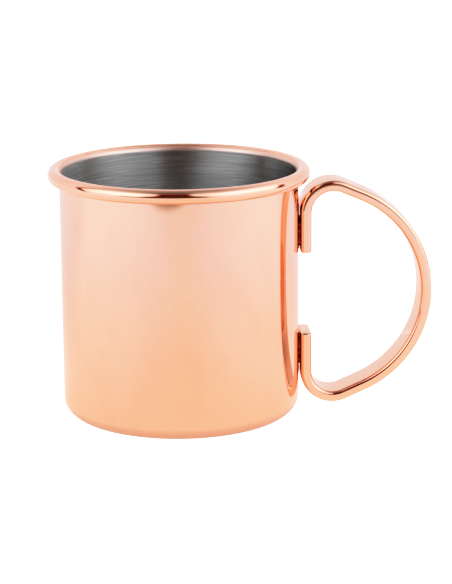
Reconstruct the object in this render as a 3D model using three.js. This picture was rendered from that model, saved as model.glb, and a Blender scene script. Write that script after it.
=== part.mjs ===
// A straight-sided copper mug: a drawn copper cup whose rim is rolled outward into a hollow bead,
// a thin stainless-steel liner that laps over the inner shoulder of that bead, and a D-shaped
// handle bent from flat copper bar and brazed to the wall at its two legs.
// Millimetres, +Z up. The origin is the centre of the flat base; the handle points along +X.
import * as THREE from 'three';

// Driving dimensions of the cup.
const cupHeight = 89.8;
const wallRadius = 42.5;
const baseCornerRadius = 6.3;
const copperThickness = 0.55;
const linerThickness = 0.4;
const beadRadius = 2.55;

// Angles on the bead, in degrees from its crest: negative towards the drink, positive outward.
const linerEdgeAngle = -40;
const joggleAngle = -28;
const curlEndAngle = 205;

// Driving dimensions of the handle.
const barWidth = 14;
const barThickness = 4;
const barCornerRadius = 1.4;
const handleStandoff = 0.3;
const handleMidHeight = 43.5;
const legEndSpacing = 29.5;
const bendRadius = 9.7;
const runSlope = 23.5;
const runLength = 7.5;
const gripRadius = 38.2;

// Braze seam behind each leg: its height, and how far it stays from the leg's cut end.
const seamHeight = 10;
const seamEndInset = 2;

// Fineness of the curved surfaces.
const turnSegments = 64;
const cornerSteps = 5;
const shoulderSteps = 3;
const curlSteps = 12;
const handleArcSteps = 16;
const handleEdgeSteps = 2;

// The cup's inner skin runs straight up into the outside of the bead, so the bead's centre is
// set back from the inner skin by the bead's own radius.
const innerRadius = wallRadius - copperThickness - linerThickness;
const beadCentreRadius = innerRadius + beadRadius;
const beadCentreHeight = cupHeight - beadRadius;

function radians(degrees) {
  return degrees * Math.PI / 180;
}

// Points of a profile arc around the bead's centre, by angle from the crest.
function beadArc(radius, fromAngle, toAngle, steps) {
  const points = [];
  for (let step = 0; step <= steps; step += 1) {
    const angle = radians(fromAngle + (toAngle - fromAngle) * step / steps);
    points.push(new THREE.Vector2(
      beadCentreRadius + radius * Math.sin(angle),
      beadCentreHeight + radius * Math.cos(angle),
    ));
  }
  return points;
}

// Points of the rounded corner between floor and wall, from the floor up to the wall.
function baseCorner(radius) {
  const points = [];
  for (let step = 0; step <= cornerSteps; step += 1) {
    const angle = radians(90 * step / cornerSteps);
    points.push(new THREE.Vector2(
      wallRadius - baseCornerRadius + radius * Math.sin(angle),
      baseCornerRadius - radius * Math.cos(angle),
    ));
  }
  return points;
}

// A skin of the cup at a given depth below its outer face: floor centre, corner, straight wall.
function cupSkin(depth) {
  return [new THREE.Vector2(0, depth), ...baseCorner(baseCornerRadius - depth)];
}

function copperMaterial() {
  return new THREE.MeshStandardMaterial({ color: 0xe0a382, roughness: 0.08, metalness: 1 });
}

function steelMaterial() {
  return new THREE.MeshStandardMaterial({ color: 0x9a9896, roughness: 0.35, metalness: 1 });
}

function brazeMaterial() {
  return new THREE.MeshStandardMaterial({ color: 0xb5714d, roughness: 0.4, metalness: 1 });
}

// Turns a profile drawn as radius and height into a solid of revolution standing on its base.
function turnedMesh(name, profile, material) {
  const mesh = new THREE.Mesh(new THREE.LatheGeometry(profile, turnSegments), material);
  mesh.name = name;
  mesh.rotation.x = Math.PI / 2;
  return mesh;
}

// Copper cup: flat base, straight wall and an open curl rolled outward. Under the liner's lap the
// sheet steps back by the liner's thickness, so the lap lies flush.
function copperCup() {
  const curlInside = beadRadius - copperThickness;
  const profile = [
    ...cupSkin(0),
    ...beadArc(curlInside - linerThickness, -90, joggleAngle, shoulderSteps),
    ...beadArc(curlInside, joggleAngle, curlEndAngle, curlSteps),
    ...beadArc(beadRadius, curlEndAngle, linerEdgeAngle, curlSteps),
    ...beadArc(beadRadius - linerThickness, linerEdgeAngle, -90, shoulderSteps),
    ...cupSkin(copperThickness).reverse(),
  ];
  return turnedMesh('copper_cup', profile, copperMaterial());
}

// Steel liner: follows the inside of the copper cup and laps over the inner shoulder of the bead.
function steelLiner() {
  const profile = [
    ...cupSkin(copperThickness),
    ...beadArc(beadRadius - linerThickness, -90, linerEdgeAngle, shoulderSteps),
    ...beadArc(beadRadius, linerEdgeAngle, -90, shoulderSteps),
    ...cupSkin(copperThickness + linerThickness).reverse(),
  ];
  return turnedMesh('steel_liner', profile, steelMaterial());
}

// Side outline of the bent bar: leg, tight bend, short straight run, round grip, and the same
// again mirrored about the handle's middle height.
function handleOutline() {
  const half = barThickness / 2;
  const legX = wallRadius + handleStandoff + half;
  const bendX = legX + bendRadius;
  const slope = radians(runSlope);
  const gripX = bendX - (gripRadius - bendRadius) * Math.sin(slope) + runLength * Math.cos(slope);
  const bendRise = (gripRadius - bendRadius) * Math.cos(slope) + runLength * Math.sin(slope);
  const turned = Math.PI / 2 - slope;
  const legEnd = legEndSpacing / 2;
  const outline = new THREE.Shape();
  outline.moveTo(legX + half, legEnd);
  outline.lineTo(legX - half, legEnd);
  outline.absarc(bendX, bendRise, bendRadius + half, Math.PI, turned, true);
  outline.absarc(gripX, 0, gripRadius + half, turned, -turned, true);
  outline.absarc(bendX, -bendRise, bendRadius + half, -turned, -Math.PI, true);
  outline.lineTo(legX - half, -legEnd);
  outline.lineTo(legX + half, -legEnd);
  outline.absarc(bendX, -bendRise, bendRadius - half, -Math.PI, -turned, false);
  outline.absarc(gripX, 0, gripRadius - half, -turned, turned, false);
  outline.absarc(bendX, bendRise, bendRadius - half, turned, Math.PI, false);
  return outline;
}

// Handle: the outline spread over the bar's width, with rounded long edges.
function barHandle() {
  const flatWidth = barWidth - 2 * barCornerRadius;
  const geometry = new THREE.ExtrudeGeometry(handleOutline(), {
    depth: flatWidth,
    curveSegments: handleArcSteps,
    bevelThickness: barCornerRadius,
    bevelSize: barCornerRadius,
    bevelOffset: -barCornerRadius,
    bevelSegments: handleEdgeSteps,
  });
  const mesh = new THREE.Mesh(geometry, copperMaterial());
  mesh.name = 'handle';
  mesh.rotation.x = Math.PI / 2;
  mesh.position.set(0, flatWidth / 2, handleMidHeight);
  return mesh;
}

// Braze seam: fills the space between the round wall and the flat back of a leg. Its inner side
// follows the two wall facets that meet under the middle of the bar.
function brazeSeam(name, legSide) {
  const facetAngle = 2 * Math.PI / turnSegments;
  const edgeX = wallRadius * Math.cos(facetAngle);
  const edgeY = wallRadius * Math.sin(facetAngle);
  const backX = wallRadius + handleStandoff;
  const outline = new THREE.Shape();
  outline.moveTo(wallRadius, 0);
  outline.lineTo(edgeX, -edgeY);
  outline.lineTo(backX, -edgeY);
  outline.lineTo(backX, edgeY);
  outline.lineTo(edgeX, edgeY);
  const geometry = new THREE.ExtrudeGeometry(outline, { depth: seamHeight, bevelEnabled: false });
  const mesh = new THREE.Mesh(geometry, brazeMaterial());
  const seamMiddle = legEndSpacing / 2 + seamEndInset + seamHeight / 2;
  mesh.name = name;
  mesh.position.z = handleMidHeight + legSide * seamMiddle - seamHeight / 2;
  return mesh;
}

const mug = new THREE.Group();
mug.add(copperCup());
mug.add(steelLiner());
mug.add(barHandle());
mug.add(brazeSeam('upper_braze_seam', 1));
mug.add(brazeSeam('lower_braze_seam', -1));

export default mug;
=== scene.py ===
"""Looks of a straight-sided copper mug: polished copper outside and over its rolled rim, brushed
steel inside, and a handle bent from flat copper bar. Metres, +Z up, the handle along +X."""
import math

import bmesh
import bpy
from mathutils import Matrix, Vector


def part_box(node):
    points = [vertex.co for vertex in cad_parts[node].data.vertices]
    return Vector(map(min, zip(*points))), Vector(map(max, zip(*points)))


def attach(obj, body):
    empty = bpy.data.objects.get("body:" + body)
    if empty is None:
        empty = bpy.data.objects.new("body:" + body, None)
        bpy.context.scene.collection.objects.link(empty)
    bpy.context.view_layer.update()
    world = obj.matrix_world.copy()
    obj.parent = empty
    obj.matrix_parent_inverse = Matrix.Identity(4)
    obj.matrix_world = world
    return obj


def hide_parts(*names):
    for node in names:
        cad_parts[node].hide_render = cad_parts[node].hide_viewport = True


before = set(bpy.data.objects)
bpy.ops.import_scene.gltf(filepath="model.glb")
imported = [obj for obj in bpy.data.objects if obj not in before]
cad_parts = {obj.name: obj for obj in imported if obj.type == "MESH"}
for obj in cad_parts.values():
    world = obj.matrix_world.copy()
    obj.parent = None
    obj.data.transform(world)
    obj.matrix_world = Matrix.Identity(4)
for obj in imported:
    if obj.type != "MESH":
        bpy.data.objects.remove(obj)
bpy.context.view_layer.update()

MM = 0.001
BODY = "root"

# ---------------------------------------------------------------- sizes

cup_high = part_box("copper_cup")[1]
handle_low, handle_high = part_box("handle")

cup_height = cup_high.z
rim_radius = cup_high.x
bar_width = handle_high.y - handle_low.y
handle_middle = (handle_low.z + handle_high.z) / 2
handle_back = handle_low.x

handle_standoff = 0.3 * MM
wall_radius = handle_back - handle_standoff
copper_thickness = 0.55 * MM
liner_thickness = 0.4 * MM
inner_radius = wall_radius - copper_thickness - liner_thickness
bead_radius = (rim_radius - inner_radius) / 2
bead_centre_radius = inner_radius + bead_radius
bead_centre_height = cup_height - bead_radius
base_corner_radius = 6.3 * MM

# Angles on the bead, in degrees from its crest: negative towards the drink, positive outward.
LINER_EDGE_ANGLE = -40
JOGGLE_ANGLE = -28
CURL_END_ANGLE = 205

bar_thickness = 4 * MM
bar_corner_radius = 1.4 * MM
leg_end_spacing = 29.5 * MM
bend_radius = 9.7 * MM
run_slope = math.radians(23.5)
run_length = 7.5 * MM
grip_radius = 38.2 * MM

TURN_SEGMENTS = 256

# Where the camera stands, seen from above: degrees from -Y towards +X.
CAMERA_AZIMUTH = -4.1


# ---------------------------------------------------------------- mesh helpers

def arc(centre, radius, start, stop, step=math.radians(3)):
    """Points (x, z) on an arc; angles in radians, anticlockwise from +x."""
    count = max(2, math.ceil(abs(stop - start) / step))
    points = []
    for i in range(count + 1):
        angle = start + (stop - start) * i / count
        points.append((centre[0] + radius * math.cos(angle), centre[1] + radius * math.sin(angle)))
    return points


def line(start, stop, step, edge=0.15 * MM):
    """Points (x, z) between two points, about a step apart, with one close to each end to hold the
    shading."""
    start, stop = Vector(start), Vector(stop)
    length = (stop - start).length
    count = max(1, round(length / step))
    shares = [edge / length] + [i / count for i in range(1, count)] + [1 - edge / length]
    return [tuple(start.lerp(stop, share)) for share in shares]


def skin(name, rings):
    """A smooth mesh through rings of points. A ring of one point is a pole."""
    mesh = bpy.data.meshes.new(name)
    work = bmesh.new()
    made = [[work.verts.new(point) for point in ring] for ring in rings]
    for first, second in zip(made, made[1:]):
        size = max(len(first), len(second))
        for i in range(size):
            j = (i + 1) % size
            corners = [first[i % len(first)], first[j % len(first)],
                       second[j % len(second)], second[i % len(second)]]
            work.faces.new(list(dict.fromkeys(corners)))
    bmesh.ops.recalc_face_normals(work, faces=work.faces)
    for face in work.faces:
        face.smooth = True
    work.to_mesh(mesh)
    work.free()
    piece = bpy.data.objects.new(name, mesh)
    bpy.context.scene.collection.objects.link(piece)
    return piece


def middle_of(ring):
    """A ring of one point, in the middle of a ring."""
    return [sum((Vector(point) for point in ring), Vector()) / len(ring)]


def turned(name, profile):
    """Turns a profile of (radius, height) points round the cup's axis."""
    on_axis = 1e-9
    rings = []
    for radius, height in profile:
        if radius < on_axis:
            rings.append([(0, 0, height)])
            continue
        ring = []
        for i in range(TURN_SEGMENTS):
            angle = math.tau * i / TURN_SEGMENTS
            ring.append((radius * math.cos(angle), radius * math.sin(angle), height))
        rings.append(ring)
    return skin(name, rings)


def bead_arc(radius, start, stop):
    """Profile points around the bead's centre, by degrees from its crest."""
    return arc((bead_centre_radius, bead_centre_height), radius,
               math.radians(90 - start), math.radians(90 - stop), math.radians(5))


def cup_skin(depth):
    """Profile of the cup at a depth below its outer face, from the floor's middle to the bead."""
    step = 4 * MM
    corner_centre = (wall_radius - base_corner_radius, base_corner_radius)
    corner = arc(corner_centre, base_corner_radius - depth, -math.pi / 2, 0)
    wall_top = (wall_radius - depth, bead_centre_height)
    return ([(0, depth)] + line((0, depth), corner[0], step) + corner
            + line(corner[-1], wall_top, step))


# ---------------------------------------------------------------- pieces

def make_cup():
    """Drawn copper cup with an open curl at the rim, stepped back under the liner's lap."""
    inside = bead_radius - copper_thickness
    profile = (cup_skin(0)
               + bead_arc(inside - liner_thickness, -90, JOGGLE_ANGLE)
               + bead_arc(inside, JOGGLE_ANGLE, CURL_END_ANGLE)
               + bead_arc(bead_radius, CURL_END_ANGLE, LINER_EDGE_ANGLE)
               + bead_arc(bead_radius - liner_thickness, LINER_EDGE_ANGLE, -90)
               + cup_skin(copper_thickness)[::-1])
    return turned("cup_polished_copper", profile)


def make_liner():
    """Steel liner that laps over the inner shoulder of the bead."""
    profile = (cup_skin(copper_thickness)
               + bead_arc(bead_radius - liner_thickness, -90, LINER_EDGE_ANGLE)
               + bead_arc(bead_radius, LINER_EDGE_ANGLE, -90)
               + cup_skin(copper_thickness + liner_thickness)[::-1])
    return turned("liner_brushed_steel", profile)


def add_lap_material(liner, material):
    """Gives the liner a second material, on its faces on the rim's inner shoulder."""
    lap_start = bead_centre_height + 0.1 * MM
    liner.data.materials.append(material)
    for face in liner.data.polygons:
        if face.center.z > lap_start:
            face.material_index = len(liner.data.materials) - 1


def handle_path():
    """Middle line of the bent bar in the XZ plane, from the upper leg's end to the lower one's."""
    step = 1.5 * MM
    leg_x = handle_back + bar_thickness / 2
    bend_x = leg_x + bend_radius
    radius_gap = grip_radius - bend_radius
    grip_x = bend_x - radius_gap * math.sin(run_slope) + run_length * math.cos(run_slope)
    bend_rise = radius_gap * math.cos(run_slope) + run_length * math.sin(run_slope)
    turned_angle = math.pi / 2 - run_slope
    leg_end = (leg_x, leg_end_spacing / 2)
    bend = arc((bend_x, bend_rise), bend_radius, math.pi, turned_angle)
    grip = arc((grip_x, 0), grip_radius, turned_angle, 0, math.radians(1.5))
    upper = ([leg_end] + line(leg_end, bend[0], step) + bend
             + line(bend[-1], grip[0], step) + grip)
    lower = [(x, -z) for x, z in upper[-2::-1]]
    return [Vector((x, 0, z + handle_middle)) for x, z in upper + lower]


def bar_section(inset):
    """Outline of the bar, (across its thickness, along its width), drawn in by an inset."""
    radius = bar_corner_radius - inset
    half_thickness = bar_thickness / 2 - bar_corner_radius
    half_width = bar_width / 2 - bar_corner_radius
    outline = []
    for quarter in range(4):
        start = quarter * math.pi / 2
        side_x = half_thickness if quarter in (0, 3) else -half_thickness
        side_y = half_width if quarter in (0, 1) else -half_width
        outline += arc((side_x, side_y), radius, start, start + math.pi / 2, math.radians(7.5))
    return outline


def make_handle():
    """Flat bar swept along its middle line, with rounded edges and softened ends."""
    end_radius = 0.5 * MM
    end_steps = 4
    clear_of_ends = 1.5 * end_radius
    path = handle_path()
    rings = []

    def add_ring(point, along, inset):
        across = Vector((along.z, 0, -along.x))
        rings.append([point + across * x + Vector((0, y, 0)) for x, y in bar_section(inset)])

    tangents = [(b - a).normalized() for a, b in zip(path[:-2], path[2:])]
    start_out = (path[0] - path[1]).normalized()
    stop_out = (path[-1] - path[-2]).normalized()
    rounding = [math.pi / 2 * i / end_steps for i in range(end_steps + 1)]
    for angle in reversed(rounding):
        add_ring(path[0] - start_out * end_radius * (1 - math.sin(angle)), -start_out,
                 end_radius * (1 - math.cos(angle)))
    for point, along in zip(path[1:-1], tangents):
        if min((point - path[0]).length, (point - path[-1]).length) > clear_of_ends:
            add_ring(point, along, 0)
    for angle in rounding:
        add_ring(path[-1] - stop_out * end_radius * (1 - math.sin(angle)), stop_out,
                 end_radius * (1 - math.cos(angle)))
    rings.insert(0, middle_of(rings[0]))
    rings.append(middle_of(rings[-1]))
    return skin("handle_polished_copper", rings)


def make_seam(name, low, high):
    """Braze between the round wall and the flat back of a leg, rounded off at both ends, with
    hollow sides where the filler has drawn in."""
    end_rounding = 1.6 * MM
    overlap = 0.03 * MM
    draw_in = 0.25 * MM
    levels = 24
    side_steps = 4
    half_width = (high.y - low.y) / 2
    half_height = (high.z - low.z) / 2
    middle = (low.z + high.z) / 2
    rings = []
    for i in range(levels + 1):
        turn = math.pi * (i / levels - 0.5)
        rise = half_height * math.sin(turn)
        past_flat = max(0, abs(rise) - (half_height - end_rounding)) / end_rounding
        width = half_width - end_rounding * (1 - math.sqrt(max(0, 1 - past_flat ** 2)))
        steps = [width * (j / side_steps - 1) for j in range(2 * side_steps + 1)]
        wall_side = [(math.sqrt(wall_radius ** 2 - y ** 2) - overlap, y) for y in steps]
        leg_side = [(handle_back + overlap, y) for y in reversed(steps)]
        gap_middle = (wall_side[-1][0] + handle_back) / 2
        sides = [(gap_middle, width - draw_in), (gap_middle, draw_in - width)]
        outline = wall_side + sides[:1] + leg_side + sides[1:]
        rings.append([(x, y, middle + rise) for x, y in outline])
    rings.insert(0, middle_of(rings[0]))
    rings.append(middle_of(rings[-1]))
    return skin(name, rings)


# ---------------------------------------------------------------- node helpers

def maths(tree, operation, *values):
    """A maths node fed with sockets or numbers."""
    node = tree.nodes.new("ShaderNodeMath")
    node.operation = operation
    for socket, value in zip(node.inputs, values):
        if isinstance(value, (int, float)):
            socket.default_value = value
        else:
            tree.links.new(value, socket)
    return node.outputs[0]


def ramp(tree, value, low, high, start, stop):
    """A smooth change from start to stop as the value goes from low to high."""
    node = tree.nodes.new("ShaderNodeMapRange")
    node.interpolation_type = "SMOOTHSTEP"
    tree.links.new(value, node.inputs["Value"])
    for name, number in (("From Min", low), ("From Max", high), ("To Min", start), ("To Max", stop)):
        node.inputs[name].default_value = number
    return node.outputs["Result"]


def window(tree, value, limits, soft):
    """1 between two limits and 0 outside, with soft edges."""
    low, high = limits
    return maths(tree, "MULTIPLY", ramp(tree, value, low - soft, low + soft, 0, 1),
                 ramp(tree, value, high - soft, high + soft, 1, 0))


def blob(tree, first, second, centre, radii):
    """1 in a small core round a centre, fading smoothly to 0 on an ellipse round it."""
    core = 0.2
    parts = []
    for value, middle, radius in zip((first, second), centre, radii):
        offset = maths(tree, "DIVIDE", maths(tree, "SUBTRACT", value, middle), radius)
        parts.append(maths(tree, "MULTIPLY", offset, offset))
    return ramp(tree, maths(tree, "SQRT", maths(tree, "ADD", *parts)), core, 1, 1, 0)


def dimmed(tree, light, share, factor):
    """Multiplies the light by a factor where the share is 1, and leaves it where the share is 0."""
    return maths(tree, "MULTIPLY", light, maths(tree, "MULTIPLY_ADD", share, factor - 1.0, 1.0))


def blend(tree, share, first, second):
    """Between two colours, each a tuple or a socket, by a share from 0 to 1."""
    node = tree.nodes.new("ShaderNodeMix")
    node.data_type = "RGBA"
    tree.links.new(share, node.inputs["Factor"])
    for name, colour in (("A", first), ("B", second)):
        if isinstance(colour, tuple):
            node.inputs[name].default_value = (*colour, 1)
        else:
            tree.links.new(colour, node.inputs[name])
    return node.outputs["Result"]


def object_place(tree):
    """The object's own coordinates, whole and as separate x, y and z."""
    coords = tree.nodes.new("ShaderNodeTexCoord")
    split = tree.nodes.new("ShaderNodeSeparateXYZ")
    tree.links.new(coords.outputs["Object"], split.inputs[0])
    return coords.outputs["Object"], split.outputs["X"], split.outputs["Y"], split.outputs["Z"]


def radius_from_axis(tree, x, y):
    """Distance from the cup's axis."""
    squares = maths(tree, "ADD", maths(tree, "MULTIPLY", x, x), maths(tree, "MULTIPLY", y, y))
    return maths(tree, "SQRT", squares)


def grain(tree, place, sizes, detail=2.0):
    """Noise from 0 to 1 whose features have the given sizes along x, y and z."""
    mapping = tree.nodes.new("ShaderNodeMapping")
    mapping.inputs["Scale"].default_value = [1 / size for size in sizes]
    node = tree.nodes.new("ShaderNodeTexNoise")
    node.inputs["Scale"].default_value = 1
    node.inputs["Detail"].default_value = detail
    tree.links.new(place, mapping.inputs["Vector"])
    tree.links.new(mapping.outputs[0], node.inputs["Vector"])
    return node.outputs[0]


def raise_surface(tree, shader, height, depth):
    """Bumps the surface by a height from 0 to 1 times a depth."""
    bump = tree.nodes.new("ShaderNodeBump")
    bump.inputs["Distance"].default_value = depth
    tree.links.new(height, bump.inputs["Height"])
    tree.links.new(bump.outputs[0], shader.inputs["Normal"])


# ---------------------------------------------------------------- materials

# Colours of the metals.
POLISHED_COPPER = (0.955, 0.655, 0.51)
WARM_COPPER = (0.93, 0.6, 0.44)
# Darkened copper, used as painted shade in the crevice under the rolled rim.
CREVICE_SHADE_COPPER = (0.8, 0.63, 0.52)
STEEL_DARK = (0.63, 0.66, 0.64)
STEEL_LIGHT = (0.81, 0.84, 0.82)
STEEL_SCRATCH = (0.98, 1.0, 0.98)
BRAZE = (0.6, 0.22, 0.12)
BRAZE_OXIDE = (0.48, 0.15, 0.08)


def new_material(name):
    """A new material, with its node tree and its shader."""
    material = bpy.data.materials.new(name)
    material.use_nodes = True
    return material, material.node_tree, material.node_tree.nodes["Principled BSDF"]


def rim_crevice_shade(tree, x, y, z):
    """Painted shade: 1 on the outside of the wall in the crevice under the rolled rim and 0
    elsewhere.
    """
    bead_foot = bead_centre_height - bead_radius
    limits = (bead_foot - 0.6 * MM, bead_foot + 0.5 * MM)
    radius = radius_from_axis(tree, x, y)
    outside = ramp(tree, radius, inner_radius, wall_radius, 0, 1)
    by_rim = ramp(tree, radius, rim_radius, rim_radius + 1 * MM, 1, 0)
    return maths(tree, "MULTIPLY", window(tree, z, limits, 0.4 * MM),
                 maths(tree, "MULTIPLY", outside, by_rim))


def copper_material(name, wave_sizes, hairline_sizes):
    """Mirror-polished copper: faint buffing waves and hairlines, a slight haze, a slight
    unevenness of colour and a painted shade line in the crevice under the rolled rim. The sizes
    give the direction of the waves and the hairlines."""
    hairline_roughness = 0.022
    hairline_depth = 0.05
    wave_depth = 0.0012 * MM
    material, tree, shader = new_material(name)
    place, x, y, z = object_place(tree)
    waves = grain(tree, place, wave_sizes)
    hairlines = ramp(tree, grain(tree, place, hairline_sizes, 4.0), 0.56, 0.74, 0, 1)
    haze = grain(tree, place, (9 * MM, 9 * MM, 14 * MM), 3.0)
    tone = ramp(tree, haze, 0.42, 0.72, 0, 0.28)
    colour = blend(tree, tone, POLISHED_COPPER, WARM_COPPER)
    # Painted shade: the copper darkens in the crevice under the rolled rim.
    colour = blend(tree, rim_crevice_shade(tree, x, y, z), colour, CREVICE_SHADE_COPPER)
    tree.links.new(colour, shader.inputs["Base Color"])
    shader.inputs["Metallic"].default_value = 1
    soft = ramp(tree, haze, 0.3, 0.75, 0.034, 0.058)
    rough = maths(tree, "MULTIPLY_ADD", hairlines, hairline_roughness, soft)
    tree.links.new(rough, shader.inputs["Roughness"])
    height = maths(tree, "MULTIPLY_ADD", hairlines, -hairline_depth, waves)
    raise_surface(tree, shader, height, wave_depth)
    return material


def past_bead_centre(tree, z, low, high):
    """From 0 to 1 between two heights, both measured from the bead's centre."""
    return ramp(tree, z, bead_centre_height + low, bead_centre_height + high, 0, 1)


def brushed_place(tree, x, y, z):
    """Coordinates whose third part rises up the wall and outward over the floor, so that fine grain
    along it makes rings round the axis on both."""
    place = tree.nodes.new("ShaderNodeCombineXYZ")
    rise = maths(tree, "ADD", z, radius_from_axis(tree, x, y))
    for socket, value in zip(place.inputs, (x, y, rise)):
        tree.links.new(value, socket)
    return place.outputs[0]


def brushed_colour(tree, place, streaks):
    """Colour of brushed steel: light and dark streaks, broad darker bands and bright scratches."""
    bands = grain(tree, place, (60 * MM, 60 * MM, 2.6 * MM), 2.0)
    scratches = grain(tree, place, (13 * MM, 13 * MM, 0.34 * MM), 2.0)
    colour = blend(tree, ramp(tree, streaks, 0.3, 0.7, 0, 1), STEEL_DARK, STEEL_LIGHT)
    colour = blend(tree, ramp(tree, bands, 0.3, 0.7, 0, 0.3), colour, STEEL_DARK)
    return blend(tree, ramp(tree, scratches, 0.6, 0.7, 0, 0.9), colour, STEEL_SCRATCH)


def direct_shine(tree, shader, directed):
    """Spreads the shine across the brushing, which runs round the cup's axis, with a slight lean.
    A whole turn of the direction is 1."""
    across_brushing = 0.25
    lean = 0.022
    shader.inputs["Anisotropic"].default_value = directed
    shader.inputs["Anisotropic Rotation"].default_value = across_brushing + lean
    tangent = tree.nodes.new("ShaderNodeTangent")
    tangent.direction_type = "RADIAL"
    tangent.axis = "Z"
    tree.links.new(tangent.outputs[0], shader.inputs["Tangent"])


def steel_material(name, directed):
    """Steel brushed round the inside, with a thin wash of copper over the lap on the rim. directed
    says how much more its shine spreads across the brushing than along it, from 0 to 1."""
    streak_depth = 0.001 * MM
    plain_roughness, streak_roughness, lap_roughness = 0.28, 0.14, 0.06
    material, tree, shader = new_material(name)
    x, y, z = object_place(tree)[1:]
    place = brushed_place(tree, x, y, z)
    streaks = grain(tree, place, (16 * MM, 16 * MM, 0.3 * MM), 3.0)
    wash = past_bead_centre(tree, z, -0.6 * MM, 2.6 * MM)
    colour = blend(tree, wash, brushed_colour(tree, place, streaks), POLISHED_COPPER)
    tree.links.new(colour, shader.inputs["Base Color"])
    shader.inputs["Metallic"].default_value = 1
    lap = past_bead_centre(tree, z, -0.5 * MM, 0.8 * MM)
    rough = maths(tree, "MULTIPLY_ADD", streaks, streak_roughness, plain_roughness)
    rough = maths(tree, "MULTIPLY_ADD", lap, lap_roughness, rough)
    tree.links.new(rough, shader.inputs["Roughness"])
    direct_shine(tree, shader, directed)
    raise_surface(tree, shader, streaks, streak_depth)
    return material


def braze_material():
    """Dull braze filler, darker where the heat has left it oxidised."""
    unevenness = 0.025 * MM
    material, tree, shader = new_material("copper_braze")
    place = object_place(tree)[0]
    mottle = grain(tree, place, (1.4 * MM, 1.4 * MM, 1.8 * MM), 4.0)
    ripple = grain(tree, place, (4 * MM, 4 * MM, 0.5 * MM), 2.0)
    oxide = ramp(tree, mottle, 0.36, 0.66, 0, 1)
    tree.links.new(blend(tree, oxide, BRAZE, BRAZE_OXIDE), shader.inputs["Base Color"])
    shader.inputs["Metallic"].default_value = 1
    tree.links.new(maths(tree, "MULTIPLY_ADD", oxide, 0.25, 0.3), shader.inputs["Roughness"])
    raise_surface(tree, shader, maths(tree, "ADD", mottle, ripple), unevenness)
    return material


# ---------------------------------------------------------------- studio

# Parts of the white tent round the mug. Each has its limits in degrees from the camera towards +X
# and in degrees above the table, the softness of its edges both ways, and its brightness as a
# multiple of the tent's.
TENT_PARTS = {
    "left_panel": ((-82, -32), (6, 46), (20, 16), 1.66),
    "right_panel": ((34, 100), (6, 46), (22, 16), 1.62),
    "front_roof": ((-55, 30), (60, 84), (14, 14), 0.5),
}

# Dim strip of the tent above the camera's opening, given in the same way.
SLOT_TOP = ((-27, 14), (47, 64), (7, 7), 0.3)

# Dark gaps at the outer ends of the panels. Each has its middle and half-sizes in the same degrees,
# its lean in degrees of turn for each degree of height, and the share of light left in it.
TENT_GAPS = {
    "left_gap": ((-93, 8), (7, 24), -0.45, 0.15),
    "right_gap": ((100, 8), (8, 26), 0.4, 0.15),
    "left_gap_top": ((-101, 38), (9, 34), -0.1, 0.55),
}

# Colours of the tent's light, of what little light comes from its openings, and of what the camera
# sees of the tent directly.
TENT_TINT = (1.05, 1.0, 1.06)
OPENING_TINT = (1.9, 0.75, 0.45)
PLAIN_WHITE = (1.0, 1.0, 1.0)

# Brightness of the backdrop and the floor as the camera sees them.
BACKDROP_GLOW = 1.65

# Distances in front of the mug between which the table darkens at its front edge.
TABLE_EDGE = (0.425, 0.45)


def tent_area(tree, turn, height, limits):
    """1 inside an area of the tent and 0 outside, from its turns, heights and softness."""
    turns, heights, soft = limits
    return maths(tree, "MULTIPLY", window(tree, turn, turns, soft[0]),
                 window(tree, height, heights, soft[1]))


def camera_slot(tree, turn, height):
    """Share of the dark opening that the camera looks through, which widens towards the table."""
    left_shift = 3.5
    soft = 4
    half_width = ramp(tree, height, 0, 22, 29, 15.5)
    aside = maths(tree, "ABSOLUTE", maths(tree, "ADD", turn, left_shift))
    across = ramp(tree, maths(tree, "SUBTRACT", aside, half_width), -soft, soft, 1, 0)
    return maths(tree, "MULTIPLY", across, ramp(tree, height, 43, 51, 1, 0))


def tent_light(tree, turn, height):
    """Strength of the tent's light by direction: less towards its top and behind the mug."""
    side_glow, top_glow = 1.17, 0.54
    light = ramp(tree, height, 35, 85, side_glow, top_glow)
    behind = ramp(tree, maths(tree, "ABSOLUTE", turn), 100, 145, 0, 1)
    light = dimmed(tree, light, behind, 0.93)
    for *limits, factor in TENT_PARTS.values():
        light = dimmed(tree, light, tent_area(tree, turn, height, limits), factor)
    return light


def tent_openings(tree, turn, height):
    """What the tent's dark openings leave of its light, by direction."""
    *limits, factor = SLOT_TOP
    left = dimmed(tree, 1.0, tent_area(tree, turn, height, limits), factor)
    left = dimmed(tree, left, camera_slot(tree, turn, height), 0.1)
    for middle, sizes, lean, factor in TENT_GAPS.values():
        rise = maths(tree, "SUBTRACT", height, middle[1])
        upright = maths(tree, "SUBTRACT", turn, maths(tree, "MULTIPLY", rise, lean))
        left = dimmed(tree, left, blob(tree, upright, height, middle, sizes), factor)
    return left


def tent_direction(tree):
    """Where light comes from: degrees from the camera towards +X and degrees above the table."""
    coords = tree.nodes.new("ShaderNodeTexCoord")
    split = tree.nodes.new("ShaderNodeSeparateXYZ")
    tree.links.new(coords.outputs["Generated"], split.inputs[0])
    forward = maths(tree, "MULTIPLY", split.outputs["Y"], -1.0)
    angle = maths(tree, "ARCTAN2", split.outputs["X"], forward)
    turn = maths(tree, "SUBTRACT", maths(tree, "DEGREES", angle), CAMERA_AZIMUTH)
    height = maths(tree, "DEGREES", maths(tree, "ARCSINE", split.outputs["Z"]))
    return turn, height


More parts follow.
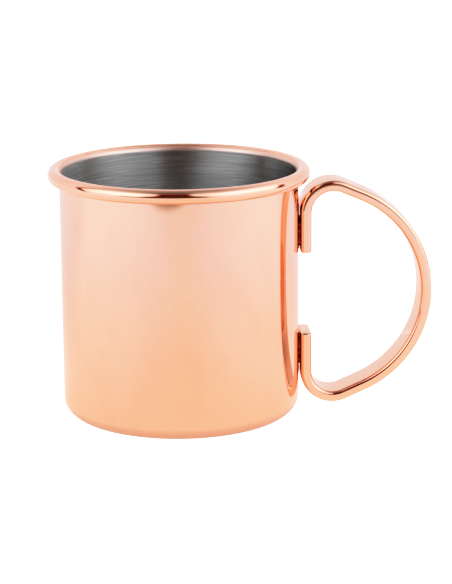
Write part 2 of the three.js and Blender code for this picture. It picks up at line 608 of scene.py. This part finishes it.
def make_tent():
    """A light tent as the world's light. What the camera sees of it directly is plain white."""
    world = bpy.data.worlds.new("light_tent")
    bpy.context.scene.world = world
    world.use_nodes = True
    tree = world.node_tree
    tree.nodes.clear()
    turn, height = tent_direction(tree)
    openings = tent_openings(tree, turn, height)
    light = maths(tree, "MULTIPLY", tent_light(tree, turn, height), openings)
    tint = blend(tree, ramp(tree, openings, 0, 0.78, 0, 1), OPENING_TINT, TENT_TINT)
    path = tree.nodes.new("ShaderNodeLightPath")
    tint = blend(tree, path.outputs["Is Camera Ray"], tint, PLAIN_WHITE)
    seen = tree.nodes.new("ShaderNodeMix")
    seen.data_type = "FLOAT"
    tree.links.new(path.outputs["Is Camera Ray"], seen.inputs["Factor"])
    tree.links.new(light, seen.inputs["A"])
    seen.inputs["B"].default_value = BACKDROP_GLOW
    background = tree.nodes.new("ShaderNodeBackground")
    tree.links.new(tint, background.inputs["Color"])
    tree.links.new(seen.outputs["Result"], background.inputs["Strength"])
    output = tree.nodes.new("ShaderNodeOutputWorld")
    tree.links.new(background.outputs[0], output.inputs["Surface"])


def plane(name, half_size, height):
    """A square plane of the studio, centred under the mug."""
    mesh = bpy.data.meshes.new(name)
    corners = [(-half_size, -half_size), (half_size, -half_size), (half_size, half_size),
               (-half_size, half_size)]
    mesh.from_pydata([(x, y, height) for x, y in corners], [], [(0, 1, 2, 3)])
    item = bpy.data.objects.new(name, mesh)
    bpy.context.scene.collection.objects.link(item)
    return item


def white_material(name, albedo, glow):
    """White without gloss, that glows by itself."""
    material, tree, shader = new_material(name)
    shader.inputs["Base Color"].default_value = (albedo, albedo, albedo, 1)
    shader.inputs["Roughness"].default_value = 0.6
    shader.inputs["Specular IOR Level"].default_value = 0.0
    shader.inputs["Emission Color"].default_value = (*PLAIN_WHITE, 1)
    shader.inputs["Emission Strength"].default_value = glow
    return material


def past_table_edge(tree, x, y):
    """Share of the dark that lies past the table's front edge, in a sector towards the camera."""
    front = math.radians(CAMERA_AZIMUTH - 9)
    forward = maths(tree, "SUBTRACT", maths(tree, "MULTIPLY", x, math.sin(front)),
                    maths(tree, "MULTIPLY", y, math.cos(front)))
    aside = maths(tree, "ADD", maths(tree, "MULTIPLY", x, math.cos(front)),
                  maths(tree, "MULTIPLY", y, math.sin(front)))
    ahead = maths(tree, "MAXIMUM", forward, 0.1)
    lean = maths(tree, "DIVIDE", maths(tree, "ABSOLUTE", aside), ahead)
    return maths(tree, "MULTIPLY", ramp(tree, forward, *TABLE_EDGE, 0, 1),
                 ramp(tree, lean, 0.65, 1.1, 1, 0))


def table_glow(tree, x, y):
    """Brightness of the glowing table: a little lower behind and in front of the mug, lower under
    it, and dark past the front edge and at two places far out at the sides."""
    middle_glow, side_glow = 1.13, 1.3
    glow = ramp(tree, maths(tree, "ABSOLUTE", x), 0, 0.42, middle_glow, side_glow)
    behind = ramp(tree, y, 0.03, 0.15, 0, 1)
    under_mug = ramp(tree, radius_from_axis(tree, x, y), 0.038, 0.049, 1, 0)
    in_front = blob(tree, x, y, (-0.01, -0.1), (0.12, 0.2))
    far_left = blob(tree, x, y, (-0.9, -0.02), (0.4, 0.12))
    far_right = blob(tree, x, y, (0.9, 0.1), (0.4, 0.12))
    for share, factor in ((behind, 0.93), (under_mug, 0.76), (in_front, 0.95),
                          (past_table_edge(tree, x, y), 0.42), (far_left, 0.3), (far_right, 0.3)):
        glow = dimmed(tree, glow, share, factor)
    return glow


def table_tint(tree, x, y):
    """Colour of the table's glow: warm by the mug and past the front edge, cooler farther off."""
    edge_tint = (1.2, 1.0, 0.84)
    far = ramp(tree, radius_from_axis(tree, x, y), 0.06, 0.35, 0, 1)
    middle = blend(tree, far, (1.22, 1.0, 0.92), (1.05, 1.0, 1.04))
    sides = blend(tree, far, (1.18, 1.0, 0.99), (1.03, 1.0, 1.11))
    aside = ramp(tree, maths(tree, "ABSOLUTE", x), 0, 0.12, 0, 1)
    return blend(tree, past_table_edge(tree, x, y), blend(tree, aside, middle, sides), edge_tint)


def make_table():
    """A glowing white table that only the mug sees, and a plain white floor for the camera."""
    table = plane("table_top", 3, -0.05 * MM)
    material = white_material("white_table", 0.0, 1.0)
    tree = material.node_tree
    shader = tree.nodes["Principled BSDF"]
    x, y = object_place(tree)[1:3]
    tree.links.new(table_glow(tree, x, y), shader.inputs["Emission Strength"])
    tree.links.new(table_tint(tree, x, y), shader.inputs["Emission Color"])
    table.data.materials.append(material)
    table.visible_camera = False
    floor = plane("floor", 8, -1 * MM)
    floor.data.materials.append(white_material("white_floor", 0.8, BACKDROP_GLOW))
    floor.visible_glossy = False
    floor.visible_diffuse = False
    floor.visible_shadow = False


def make_camera():
    """The camera stands in front, a little above the rim, and looks slightly down."""
    azimuth = math.radians(CAMERA_AZIMUTH)
    elevation = math.radians(14.02)
    distance = 793.7 * MM
    aim_offset = 16.4 * MM
    aim_height = 43.37 * MM
    roll = math.radians(-0.406)
    lens = 136.24
    sensor_width = 36
    sideways = Vector((math.cos(azimuth), math.sin(azimuth), 0))
    back = Vector((math.sin(azimuth) * math.cos(elevation),
                   -math.cos(azimuth) * math.cos(elevation), math.sin(elevation)))
    up = back.cross(sideways)
    aim = sideways * aim_offset + Vector((0, 0, aim_height))
    right = sideways * math.cos(roll) + up * math.sin(roll)
    top = back.cross(right)
    data = bpy.data.cameras.new("camera")
    data.sensor_width = sensor_width
    data.lens = lens
    item = bpy.data.objects.new("camera", data)
    item.matrix_world = (Matrix.Translation(aim + back * distance)
                         @ Matrix((right, top, back)).transposed().to_4x4())
    bpy.context.scene.collection.objects.link(item)
    bpy.context.scene.camera = item


def set_tone_curve():
    """Photographic contrast: steep mid-tones and a soft shoulder just under white."""
    contrast = 1.75
    shoulder = 3.9
    brightest = 2.4
    points = 24
    view = bpy.context.scene.view_settings
    view.view_transform = "Standard"
    view.use_curve_mapping = True
    mapping = view.curve_mapping
    mapping.white_level = (brightest, brightest, brightest)
    mapping.extend = "HORIZONTAL"
    combined = 3
    curve = mapping.curves[combined]
    for i in range(1, points):
        light = (brightest * i / points) ** contrast
        curve.points.new(i / points, light / (1 + light ** shoulder) ** (1 / shoulder))
    mapping.update()


# ---------------------------------------------------------------- assembly

def add_piece(piece, node, material):
    """Gives a piece its material and puts it in the place of its CAD node."""
    piece.data.materials.append(material)
    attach(piece, BODY)
    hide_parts(node)


cup_copper = copper_material("polished_copper_cup", (2.2 * MM, 2.2 * MM, 60 * MM),
                             (7 * MM, 7 * MM, 0.16 * MM))
bar_copper = copper_material("polished_copper_bar", (25 * MM, 1.3 * MM, 25 * MM),
                             (9 * MM, 0.14 * MM, 9 * MM))
braze = braze_material()

add_piece(make_cup(), "copper_cup", cup_copper)
liner = make_liner()
add_piece(liner, "steel_liner", steel_material("brushed_steel", 0.9))
add_lap_material(liner, steel_material("satin_steel_lap", 0.2))
add_piece(make_handle(), "handle", bar_copper)
for side in ("upper", "lower"):
    seam = make_seam(f"{side}_seam_copper_braze", *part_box(f"{side}_braze_seam"))
    add_piece(seam, f"{side}_braze_seam", braze)

make_tent()
make_table()
make_camera()
set_tone_curve()
